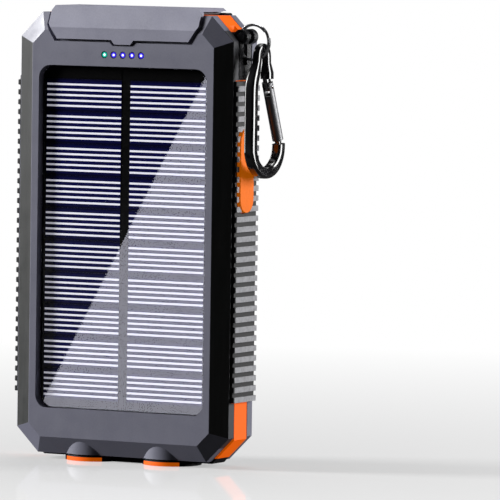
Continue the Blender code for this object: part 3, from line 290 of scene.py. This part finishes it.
def solar_cell():
    """Navy silicon: dark margins round the cells, a darker joint between groups and faint crystal flecks."""
    n = Nodes("solar_cell")
    x, _, z = n.axes()
    fleck = n.ramp(n.noise(1.1 * MM, 3.0, stretch=(1, 1, 2.2)), 0.35, 0.7)
    navy = n.blend(fleck, (0.0004, 0.0009, 0.046), (0.0008, 0.0018, 0.092))
    phase = n.math("FRACT", n.math("DIVIDE", n.math("SUBTRACT", z, CELL_FIRST - 1.7 * MM), CELL_PITCH))
    bottom = n.math("SUBTRACT", 1.0, n.ramp(phase, 0.03, 0.12))
    dark = n.math("MAXIMUM", bottom, n.ramp(phase, 0.90, 0.99))
    cells = n.blend(n.math("MULTIPLY", dark, 0.75), navy, (0.0005, 0.0005, 0.010))
    across = n.math("ABSOLUTE", n.math("SUBTRACT", x, -0.1 * MM))
    on_cell = n.math("MULTIPLY", n.math("GREATER_THAN", across, 1.6 * MM),
                     n.math("LESS_THAN", across, 28.75 * MM))
    tall = n.math("MULTIPLY", n.math("GREATER_THAN", z, CELL_FIRST - 1.3 * MM),
                  n.math("LESS_THAN", z, CELL_FIRST + CELL_PITCH * (CELL_ROWS - 1) + 8.6 * MM))
    n.set(Base_Color=n.blend(n.math("MULTIPLY", on_cell, tall), (0.0015, 0.0015, 0.0018), cells),
          Roughness=n.ramp(fleck, 0, 1, 0.30, 0.42), Normal=n.bump(n.noise(0.8 * MM, 2.0), 0.004 * MM))
    return n.set(Specular_IOR_Level=0.08)


MATERIALS["solar_cell"] = solar_cell()


def clear(name, tint, rough=0.03):
    """Thin clear cover: light passes through it, and it mirrors at its surface by Fresnel."""
    n = Nodes(name)
    facing = n.add("ShaderNodeLayerWeight").outputs["Facing"]
    mirror = n.math("ADD", n.math("MULTIPLY", n.math("POWER", facing, 5.0), 0.9), 0.03)
    smear = n.ramp(n.noise(9 * MM, 4.0), 0.3, 0.8, 1.0, 1.12)
    n.set(Base_Color=(*tint, 1.0), Metallic=1.0, Alpha=n.math("MULTIPLY", mirror, smear),
          Roughness=n.ramp(n.noise(4 * MM, 3.0), 0.3, 0.7, rough, rough + 0.02))
    return n.material


MATERIALS["panel_glass"] = clear("panel_glass", (0.95, 0.95, 1.0), 0.01)
MATERIALS["clear_lens"] = clear("clear_lens", (0.98, 0.99, 1.0), 0.02)


def finger_silver():
    """Printed silver with a faint glow, as the fingers are the brightest lines on the panel."""
    n = Nodes("finger_silver")
    streak = n.ramp(n.noise(0.5 * MM, 2.0, stretch=(0.2, 1, 4)), 0.3, 0.7)
    return n.set(Base_Color=n.blend(streak, (0.80, 0.80, 0.92), (0.95, 0.95, 1.0)), Roughness=0.5,
                 Normal=n.bump(streak, 0.004 * MM),
                 Emission_Color=(0.86, 0.86, 1.0, 1.0), Emission_Strength=0.36)


MATERIALS["finger_silver"] = finger_silver()


def led_yellow():
    """The phosphor of the torch's light-emitting chips."""
    n = Nodes("led_yellow")
    dots = n.ramp(n.noise(0.3 * MM, 2.0), 0.4, 0.6)
    return n.set(Base_Color=n.blend(dots, (0.82, 0.70, 0.18), (0.95, 0.86, 0.35)), Roughness=0.45,
                 Normal=n.bump(dots, 0.01 * MM))


MATERIALS["led_yellow"] = led_yellow()


def indicator_glow():
    """Light pipes: a white core, a coloured body and a dark rim, each centred on its own LED."""
    n = Nodes("indicator_glow")
    x, _, z = n.axes()
    step = n.math("DIVIDE", x, LIGHT_PITCH)
    index = n.math("ROUND", step)
    from_x = n.math("MULTIPLY", n.math("SUBTRACT", step, index), LIGHT_PITCH)
    from_z = n.math("SUBTRACT", z, LIGHT_Z)
    away = n.distance(from_x, from_z)
    hue = n.blend(n.math("LESS_THAN", index, -1.5), (0.055, 0.035, 0.85), (0.0, 0.45, 0.32))
    core = n.ramp(away, 0.22 * MM, 0.46 * MM, 1.0, 0.0, True)
    body = n.ramp(away, 0.5 * MM, 1.05 * MM, 1.0, 0.12, True)
    colour = n.blend(core, hue, (1.0, 1.0, 1.0))
    n.set(Base_Color=colour, Roughness=n.ramp(away, 0, 1 * MM, 0.2, 0.35), Emission_Color=colour,
          Emission_Strength=n.math("MULTIPLY", body, n.ramp(core, 0, 1, 0.55, 1.3)))
    return n.material


MATERIALS["indicator_glow"] = indicator_glow()


def compass_dial():
    """A green middle and a black outer ring."""
    n = Nodes("compass_card")
    x, _, z = n.axes()
    rim = n.ramp(n.distance(x, n.math("SUBTRACT", z, COMPASS_Z)), 3.2 * MM, 3.5 * MM)
    fleck = n.ramp(n.noise(0.5 * MM), 0.3, 0.7)
    green = n.blend(fleck, (0.012, 0.16, 0.06), (0.03, 0.26, 0.10))
    return n.set(Base_Color=n.blend(rim, green, (0.010, 0.012, 0.012)),
                 Roughness=n.ramp(fleck, 0, 1, 0.4, 0.55))


MATERIALS["compass_card"] = compass_dial()
MATERIALS["dial_print"] = moulded("dial_print", (0.75, 0.85, 0.78), 0.5, grain=0.1 * MM, depth=0.004 * MM)


# ---------------------------------------------------------------- CAD nodes: finish and soft edges

FINISH_OF = {
    "front_cover": "front_shell", "panel_glass": "panel_glass", "indicator_light_pipe": "indicator_glow",
    "power_button": "orange_button", "lanyard_bar": "anodised_grey",
    "rear_chevron_lower": "slotted_trim", "rear_chevron_upper": "slotted_trim",
    "rear_grip_band_lower": "grip_band", "rear_grip_band_upper": "grip_band",
    "side_grip_left": "ribbed_rubber", "side_grip_right": "ribbed_rubber",
}
SLOT_OF = {entry["node"]: entry["material_slot"] for entry in frame["record"]["subparts"]}


def paint(obj, name):
    obj.data.materials.clear()
    obj.data.materials.append(MATERIALS[name])


def soften(obj, width, segments, angle, planar=True):
    """Rounds edges sharper than angle by width. With planar, it first merges the triangles of flat faces."""
    weld = obj.modifiers.new("weld", "WELD")
    weld.merge_threshold = 0.002 * MM
    if planar:
        flat = obj.modifiers.new("flat", "DECIMATE")
        flat.decimate_type = "DISSOLVE"
        flat.angle_limit = math.radians(0.6)
    bevel = obj.modifiers.new("bevel", "BEVEL")
    bevel.width = width
    bevel.segments = segments
    bevel.limit_method = "ANGLE"
    bevel.angle_limit = math.radians(angle)
    bevel.harden_normals = True
    bevel.use_clamp_overlap = True
    bevel.miter_outer = "MITER_ARC"
    normals = obj.modifiers.new("normals", "WEIGHTED_NORMAL")
    normals.keep_sharp = False
    normals.weight = 90


EDGE_WIDTH = {          # in mm
    "front_cover": 0.20, "rear_cover": 0.20, "mid_frame": 0.25, "port_cover": 0.22, "power_button": 0.70,
    "side_grip_left": 0.28, "side_grip_right": 0.28, "port_seal": 0.15,
    "rear_grip_band_lower": 0.14, "rear_grip_band_upper": 0.14,
    "rear_chevron_lower": 0.18, "rear_chevron_upper": 0.18,
    "rear_rail_left": 0.20, "rear_rail_right": 0.20, "compass_trim": 0.20, "compass_housing": 0.12,
    "usb_socket_left": 0.12, "usb_socket_right": 0.12, "micro_usb_socket": 0.12,
    "hinge_knuckle_left": 0.20, "hinge_knuckle_right": 0.20,
    "lanyard_block": 0.30, "lanyard_bar": 0.20, "carabiner_gate": 0.15, "gate_pin": 0.08,
    "screw_cap_bottom_left": 0.20, "screw_cap_bottom_right": 0.20,
    "screw_cap_top_left": 0.20, "screw_cap_top_right": 0.20,
}
KEEP_TRIANGLES = ("rear_cover", "rear_chevron_lower", "rear_chevron_upper")
SHALLOW_EDGES = ("front_cover", "port_cover")       # their faces meet at 24 degrees
for name, node in NODES.items():
    paint(node, FINISH_OF.get(name, SLOT_OF[name]))
    if name in EDGE_WIDTH:
        soften(node, EDGE_WIDTH[name] * MM, segments=4 if name == "power_button" else 2,
               angle=14.0 if name in SHALLOW_EDGES else 28.0, planar=name not in KEEP_TRIANGLES)
    else:
        soften(node, 0.05 * MM, segments=1, angle=32.0)


# ---------------------------------------------------------------- pieces

def piece(name, bm, finish, body, smooth=True):
    mesh = bpy.data.meshes.new(name)
    bmesh.ops.recalc_face_normals(bm, faces=bm.faces)
    bm.to_mesh(mesh)
    bm.free()
    mesh.polygons.foreach_set("use_smooth", [smooth] * len(mesh.polygons))
    obj = bpy.data.objects.new(name, mesh)
    bpy.context.scene.collection.objects.link(obj)
    paint(obj, finish)
    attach(obj, body)
    return obj


def add_box(bm, x, y, z):
    made = bmesh.ops.create_cube(bm, size=1)["verts"]
    for vert in made:
        for axis, (low, high) in enumerate((x, y, z)):
            vert.co[axis] = low if vert.co[axis] < 0 else high
    return made


def add_stroke(bm, start, end, width, y):
    """A flat bar in an XZ plane between two points, given as (x, z)."""
    start, end = Vector(start), Vector(end)
    along = (end - start).normalized()
    reach = ((end - start).length + width) / 2
    middle = (start + end) / 2
    for vert in add_box(bm, (-reach, reach), y, (-width / 2, width / 2)):
        a, depth, b = vert.co
        vert.co = (middle.x + a * along.x - b * along.y, depth, middle.y + a * along.y + b * along.x)


def add_sweep(bm, path, radii, sides=20, closed=False, section=None):
    """A tube along path; section(angle) gives the outline's radius as a share of the tube's."""
    points = [Vector(p) for p in path]
    count = len(points)
    rings = []
    normal = None
    for index, point in enumerate(points):
        before = points[index - 1] if closed or index > 0 else point
        after = points[(index + 1) % count] if closed or index < count - 1 else point
        tangent = (after - before).normalized()
        if normal is None:
            normal = tangent.orthogonal().normalized() if abs(tangent.x) > 0.9 else Vector((1, 0, 0))
        normal = (normal - tangent * normal.dot(tangent)).normalized()
        side = tangent.cross(normal)
        ring = []
        for k in range(sides):
            angle = 2 * math.pi * k / sides
            share = section(angle) if section else 1.0
            ring.append(bm.verts.new(point + radii[index] * share
                                     * (normal * math.cos(angle) + side * math.sin(angle))))
        rings.append(ring)
    pairs = list(zip(rings, rings[1:])) + ([(rings[-1], rings[0])] if closed else [])
    for one, other in pairs:
        for k in range(sides):
            bm.faces.new((one[k], one[(k + 1) % sides], other[(k + 1) % sides], other[k]))
    if not closed:
        bm.faces.new(reversed(rings[0]))
        bm.faces.new(rings[-1])


def squared(angle, power):
    """The radius of a rounded square section at this angle; a greater power makes it squarer."""
    return 1.0 / (abs(math.cos(angle)) ** power + abs(math.sin(angle)) ** power) ** (1 / power)


def smooth_path(points, radii, samples):
    """Catmull-Rom through the points, with the radii carried along."""
    path, sizes = [], []
    for index in range(len(points) - 1):
        p = [Vector(points[max(0, min(len(points) - 1, index + k))]) for k in (-1, 0, 1, 2)]
        for step in range(samples):
            t = step / samples
            path.append(0.5 * (2 * p[1] + (p[2] - p[0]) * t + (2 * p[0] - 5 * p[1] + 4 * p[2] - p[3]) * t * t
                               + (3 * p[1] - p[0] - 3 * p[2] + p[3]) * t ** 3))
            sizes.append(radii[index] + (radii[index + 1] - radii[index]) * t)
    path.append(Vector(points[-1]))
    sizes.append(radii[-1])
    return path, sizes


def make_fingers():
    """The printed contact fingers: five to a cell, in two columns of ten cells."""
    bm = bmesh.new()
    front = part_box("solar_panel")[0].y
    for cell in range(CELL_ROWS):
        for line in range(5):
            z = CELL_FIRST + cell * CELL_PITCH + line * FINGER_STEP
            for low, high in ((-28.7 * MM, -1.75 * MM), (1.55 * MM, 28.5 * MM)):
                add_box(bm, (low, high), (front - 0.05 * MM, front + 0.02 * MM),
                        (z - 0.31 * MM, z + 0.31 * MM))
    return piece("cell_fingers", bm, "finger_silver", "case", smooth=False)


def make_carabiner():
    """Smooth carabiner with an eye at the top, a straight spine and a wide bend, ending in the gate's nose."""
    wire, thin = 1.9, 1.3
    eye_radius, eye_z = CLIP_EYE
    marks = [(3.6, 122.5, wire), (3.5, 124.5, wire), (3.15, 127.4, thin)]
    for step in range(9):
        angle = math.pi * step / 8
        marks.append((eye_radius * math.cos(angle), eye_z + eye_radius * math.sin(angle), thin))
    marks += [(-3.4, 127.2, thin), (-5.0, 124.2, wire * 0.95), (-6.2, 121.6, wire), (-6.6, 118.5, wire),
              (-6.6, 110.0, wire)]
    for step in range(13):
        angle = math.pi * (1 + step / 12)
        marks.append((2.6 + 9.2 * math.cos(angle), 101.1 + 8.1 * math.sin(angle), wire))
    marks.append((11.75, 101.9, wire))
    path, sizes = smooth_path([(CLIP_X, y * MM, z * MM) for y, z, _ in marks],
                              [radius * MM for _, _, radius in marks], 5)
    bm = bmesh.new()

    add_sweep(bm, path, sizes, 40, section=lambda angle: 0.93 * squared(angle, 4.5))
    lean = math.atan2(GATE_TOP[0] - GATE_END[0], GATE_TOP[1] - GATE_END[1])
    turn = (Matrix.Translation((CLIP_X, GATE_TOP[0] * MM, GATE_TOP[1] * MM))
            @ Matrix.Rotation(-lean, 4, "X"))
    tongue = add_box(bm, (-0.8 * MM, 0.8 * MM), (-1.1 * MM, 1.1 * MM), (-2.6 * MM, 2.6 * MM))
    for vert in tongue:
        vert.co = turn @ vert.co
    add_box(bm, (CLIP_X - 0.8 * MM, CLIP_X + 0.8 * MM), (10.9 * MM, 12.2 * MM), (100.5 * MM, 104.3 * MM))
    clip = piece("carabiner_body_smooth", bm, "anodised_black", "carabiner")
    bevel = clip.modifiers.new("bevel", "BEVEL")
    bevel.width = 0.25 * MM
    bevel.segments = 2
    bevel.limit_method = "ANGLE"
    bevel.angle_limit = math.radians(60)
    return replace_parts(clip, "carabiner_body")


def make_ring():
    """A split ring: nearly two flat turns of wire."""
    low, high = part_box("key_ring")
    centre = (low + high) / 2
    radius = (high.x - low.x) / 2 - 0.62 * MM
    bm = bmesh.new()
    path = []
    turns = 1.93
    steps = 150
    for k in range(steps + 1):
        t = k / steps
        angle = math.radians(40) + 2 * math.pi * turns * t
        swing = 0.5 - 0.5 * math.cos(math.pi * min(1, max(0, (t - 0.42) / 0.16)))
        path.append((centre.x + radius * math.cos(angle), centre.y + (-0.40 + 0.80 * swing) * MM,
                     centre.z + radius * math.sin(angle)))

    add_sweep(bm, path, [0.40 * MM] * len(path), 12, section=lambda angle: squared(angle, 3))
    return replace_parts(piece("split_ring", bm, "steel", "key_ring"), "key_ring")


LETTERS = {
    "N": (((-0.5, -0.7), (-0.5, 0.7)), ((-0.5, 0.7), (0.5, -0.7)), ((0.5, -0.7), (0.5, 0.7))),
    "E": (((-0.4, -0.7), (-0.4, 0.7)), ((-0.4, 0.7), (0.45, 0.7)), ((-0.4, 0.0), (0.3, 0.0)),
          ((-0.4, -0.7), (0.45, -0.7))),
    "S": (((0.45, 0.7), (-0.45, 0.7)), ((-0.45, 0.7), (-0.45, 0.0)), ((-0.45, 0.0), (0.45, 0.0)),
          ((0.45, 0.0), (0.45, -0.7)), ((0.45, -0.7), (-0.45, -0.7))),
    "W": (((-0.65, 0.7), (-0.3, -0.7)), ((-0.3, -0.7), (0.0, 0.3)), ((0.0, 0.3), (0.3, -0.7)),
          ((0.3, -0.7), (0.65, 0.7))),
}


def make_compass_marks():
    """Ticks all round the dial and the four compass letters, seen from behind, where -X is to the right."""
    low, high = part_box("compass_card")
    centre = (low + high) / 2
    radius = (high.x - low.x) / 2
    bm = bmesh.new()

    def stroke(start, end, width):
        points = [(centre.x - point[0], centre.z + point[1]) for point in (start, end)]
        add_stroke(bm, *points, width, (high.y - 0.06 * MM, high.y + 0.05 * MM))

    for tick in range(24):
        angle = 2 * math.pi * tick / 24
        reach = 0.80 if tick % 6 == 0 else (0.84 if tick % 3 == 0 else 0.88)
        inner, outer = (Vector((math.sin(angle), math.cos(angle))) * radius * share for share in (reach, 0.95))
        stroke(inner, outer, 0.12 * MM)
    for quarter, letter in enumerate("NESW"):
        angle = math.pi / 2 * quarter
        place = Vector((math.sin(angle), math.cos(angle))) * radius * 0.60
        for start, end in LETTERS[letter]:
            points = []
            for px, py in (start, end):
                turned = Vector((px * math.cos(angle) + py * math.sin(angle),
                                 -px * math.sin(angle) + py * math.cos(angle)))
                points.append(place + turned * 0.75 * MM)
            stroke(points[0], points[1], 0.16 * MM)
    return piece("compass_marks", bm, "dial_print", "compass_card", smooth=False)


def band_limits(x):
    """The lower band's lowest and highest z at this distance from the middle of the back."""
    out = abs(x) / MM
    low = 18.7 + max(0.0, out - 17.0) * 5.3 / 8.0
    high = 41.6 - max(0.0, out - 14.0) * 4.2 / 11.0
    return low * MM, high * MM


def make_band_bridges():
    """Small bridges across the grooves of the ribbed bands, which break each groove into a row of dots."""
    bm = bmesh.new()
    for index in range(BAND_RIBS + 1):
        x = (index - BAND_RIBS / 2) * BAND_PITCH
        low, high = band_limits(x)
        steps = int((high - low) / (0.95 * MM))
        for step in range(1, steps):
            z = low + (high - low) * step / steps
            for place in (z, 2 * BACK_MIDDLE - z):
                add_box(bm, (x - 0.42 * MM, x + 0.42 * MM), (10.05 * MM, 10.42 * MM),
                        (place - 0.13 * MM, place + 0.13 * MM))
    return piece("band_bridges", bm, "band_bridge", "case", smooth=False)


def make_back_lines():
    """Thin black inlays that join the bands at their sides and outline their inner edges."""
    bm = bmesh.new()
    surface = (10.15 * MM, 10.34 * MM)
    for side in (-1, 1):
        add_stroke(bm, (side * INLAY_X, 37.8 * MM), (side * INLAY_X, 76.2 * MM), 0.5 * MM, surface)
        for flip in (False, True):
            corner, inner = 37.9 * MM, 42.15 * MM
            if flip:
                corner, inner = 2 * BACK_MIDDLE - corner, 2 * BACK_MIDDLE - inner
            add_stroke(bm, (side * INLAY_X, corner), (side * 14.0 * MM, inner), 0.4 * MM, surface)
            if side > 0:
                add_stroke(bm, (-14.0 * MM, inner), (14.0 * MM, inner), 0.4 * MM, surface)
    return piece("back_lines", bm, "black_trim", "case", smooth=False)


make_band_bridges()
make_back_lines()
make_fingers()
make_carabiner()
make_ring()
make_compass_marks()


# ---------------------------------------------------------------- stage

def stage_material(name, build):
    material = bpy.data.materials.new(name)
    material.use_nodes = True
    material.node_tree.nodes.clear()
    build(material.node_tree)
    return material


def card(name, corners, strength, colour=(1, 1, 1)):
    """A bright studio card. It shows only in reflections."""
    mesh = bpy.data.meshes.new(name)
    mesh.from_pydata([tuple(c) for c in corners], [], [tuple(range(len(corners)))])
    obj = bpy.data.objects.new(name, mesh)
    bpy.context.scene.collection.objects.link(obj)

    def build(tree):
        glow = tree.nodes.new("ShaderNodeEmission")
        glow.inputs["Color"].default_value = (*colour, 1)
        glow.inputs["Strength"].default_value = strength
        out = tree.nodes.new("ShaderNodeOutputMaterial")
        tree.links.new(glow.outputs[0], out.inputs["Surface"])

    mesh.materials.append(stage_material(name, build))
    obj.visible_camera = False
    obj.visible_shadow = False
    obj.visible_diffuse = False
    obj.visible_transmission = False
    return obj


def area_light(name, position, size, energy):
    light = bpy.data.lights.new(name, "AREA")
    light.shape = "RECTANGLE"
    light.size, light.size_y = size
    light.energy = energy
    obj = bpy.data.objects.new(name, light)
    obj.location = position
    obj.rotation_euler = (AIM - Vector(position)).to_track_quat("-Z", "Y").to_euler()
    bpy.context.scene.collection.objects.link(obj)
    return obj


def set_camera():
    """The photo's view. It returns the camera's place."""
    back = Vector((math.sin(VIEW_AZIMUTH) * math.cos(VIEW_ELEVATION),
                   -math.cos(VIEW_AZIMUTH) * math.cos(VIEW_ELEVATION), math.sin(VIEW_ELEVATION)))
    right = Vector((math.cos(VIEW_AZIMUTH), math.sin(VIEW_AZIMUTH), 0))
    up = back.cross(right)
    data = bpy.data.cameras.new("camera")
    data.lens = 468.1
    data.sensor_width = 36.0
    data.clip_start = 0.05
    data.clip_end = 60.0
    obj = bpy.data.objects.new("camera", data)
    axis_x = right * math.cos(VIEW_ROLL) - up * math.sin(VIEW_ROLL)
    axis_y = right * math.sin(VIEW_ROLL) + up * math.cos(VIEW_ROLL)
    basis = Matrix((axis_x, axis_y, back)).transposed().to_4x4()
    obj.matrix_world = Matrix.Translation((1.00415, -1.79133, 0.19145)) @ basis
    bpy.context.scene.collection.objects.link(obj)
    bpy.context.scene.camera = obj
    return obj.matrix_world.translation.copy()


def set_world():
    """White behind the object, and nearly black in reflections and as fill light."""
    world = bpy.data.worlds.new("studio")
    world.use_nodes = True
    bpy.context.scene.world = world
    tree = world.node_tree
    tree.nodes.clear()
    path = tree.nodes.new("ShaderNodeLightPath")
    dim = tree.nodes.new("ShaderNodeBackground")
    dim.inputs["Color"].default_value = (0.9, 0.92, 1.0, 1)
    dim.inputs["Strength"].default_value = 0.02
    pale = tree.nodes.new("ShaderNodeBackground")
    pale.inputs["Color"].default_value = (1, 1, 1, 1)
    pale.inputs["Strength"].default_value = 1.0
    mix = tree.nodes.new("ShaderNodeMixShader")
    out = tree.nodes.new("ShaderNodeOutputWorld")
    tree.links.new(path.outputs["Is Camera Ray"], mix.inputs[0])
    tree.links.new(dim.outputs[0], mix.inputs[1])
    tree.links.new(pale.outputs[0], mix.inputs[2])
    tree.links.new(mix.outputs[0], out.inputs["Surface"])


def set_floor():
    """A pale glossy floor that fades into the white surround. It throws little light back at the object."""
    bm = bmesh.new()
    bmesh.ops.create_grid(bm, x_segments=1, y_segments=1, size=12)
    mesh = bpy.data.meshes.new("floor")
    bm.to_mesh(mesh)
    bm.free()
    floor = bpy.data.objects.new("floor", mesh)
    bpy.context.scene.collection.objects.link(floor)

    def build(tree):
        shader = tree.nodes.new("ShaderNodeBsdfPrincipled")
        shader.inputs["Base Color"].default_value = (0.90, 0.90, 0.90, 1)
        shader.inputs["Roughness"].default_value = 0.05
        glow = tree.nodes.new("ShaderNodeEmission")
        glow.inputs["Strength"].default_value = 1.0
        path = tree.nodes.new("ShaderNodeLightPath")
        where = tree.nodes.new("ShaderNodeTexCoord")
        length = tree.nodes.new("ShaderNodeVectorMath")
        length.operation = "LENGTH"
        tree.links.new(where.outputs["Object"], length.inputs[0])
        fade = tree.nodes.new("ShaderNodeMapRange")
        for socket, value in zip(fade.inputs[1:5], (0.04, 0.50, 0.45, 1.0)):
            socket.default_value = value
        tree.links.new(length.outputs["Value"], fade.inputs[0])
        dull = tree.nodes.new("ShaderNodeBsdfDiffuse")
        dull.inputs["Color"].default_value = (0.05, 0.05, 0.05, 1)
        mix = tree.nodes.new("ShaderNodeMixShader")
        seen = tree.nodes.new("ShaderNodeMixShader")
        out = tree.nodes.new("ShaderNodeOutputMaterial")
        tree.links.new(fade.outputs[0], mix.inputs[0])
        tree.links.new(shader.outputs[0], mix.inputs[1])
        tree.links.new(glow.outputs[0], mix.inputs[2])
        tree.links.new(path.outputs["Is Camera Ray"], seen.inputs[0])
        tree.links.new(dull.outputs[0], seen.inputs[1])
        tree.links.new(mix.outputs[0], seen.inputs[2])
        tree.links.new(seen.outputs[0], out.inputs["Surface"])

    mesh.materials.append(stage_material("floor", build))


def panel_reflector(camera):
    """A card placed where the glass mirrors it over the lower right half of the panel."""
    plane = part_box("panel_glass")[0].y
    mirrored = Vector((camera.x, 2 * plane - camera.y, camera.z))

    def behind(x, z, distance=0.10):
        point = Vector((x * MM, plane, z * MM))
        ray = point - mirrored
        return mirrored + ray * ((plane - distance - mirrored.y) / ray.y)

    sheet = card("reflector", [behind(29.4, 124.5), behind(-31.2, 14.0), behind(-31.2, 10.0), behind(36, 10.0),
                               behind(36, 124.5)], 4.3, (0.90, 0.90, 1.0))
    only_glass = bpy.data.collections.new("lit_by_reflector")
    only_glass.objects.link(NODES["panel_glass"])
    sheet.light_linking.receiver_collection = only_glass
    return sheet


def hardware_cards():
    """Two tall cards, to the left and to the right of the view, that draw bright lines along polished edges."""
    right = Vector((math.cos(VIEW_AZIMUTH), math.sin(VIEW_AZIMUTH), 0))
    toward = Vector((math.sin(VIEW_AZIMUTH), -math.cos(VIEW_AZIMUTH), 0))
    receivers = bpy.data.collections.new("lit_by_cards")
    receivers.objects.link(bpy.data.objects["carabiner_body_smooth"])
    for name in ("carabiner_gate", "gate_pin", "lanyard_bar", "lanyard_block"):
        receivers.objects.link(NODES[name])
    for name, side, near in (("card_left", -1, -0.22), ("card_right", 1, 0.04)):
        middle = Vector((CLIP_X, 0, 0)) + right * side * 0.45 + toward * near
        low, high = middle - toward * 0.22, middle + toward * 0.22
        sheet = card(name, [(low.x, low.y, -0.1), (high.x, high.y, -0.1), (high.x, high.y, 0.55),
                            (low.x, low.y, 0.55)], 14.0)
        sheet.light_linking.receiver_collection = receivers


bpy.context.scene.view_settings.view_transform = "Standard"
camera_place = set_camera()
set_world()
set_floor()
panel_reflector(camera_place)
hardware_cards()
area_light("key", (-1.30, -0.54, 0.60), (0.35, 0.7), 46)
area_light("rim", (1.10, 0.70, 0.40), (0.5, 0.7), 24)
area_light("overhead", (-0.2, 0.55, 1.3), (0.7, 0.7), 8)
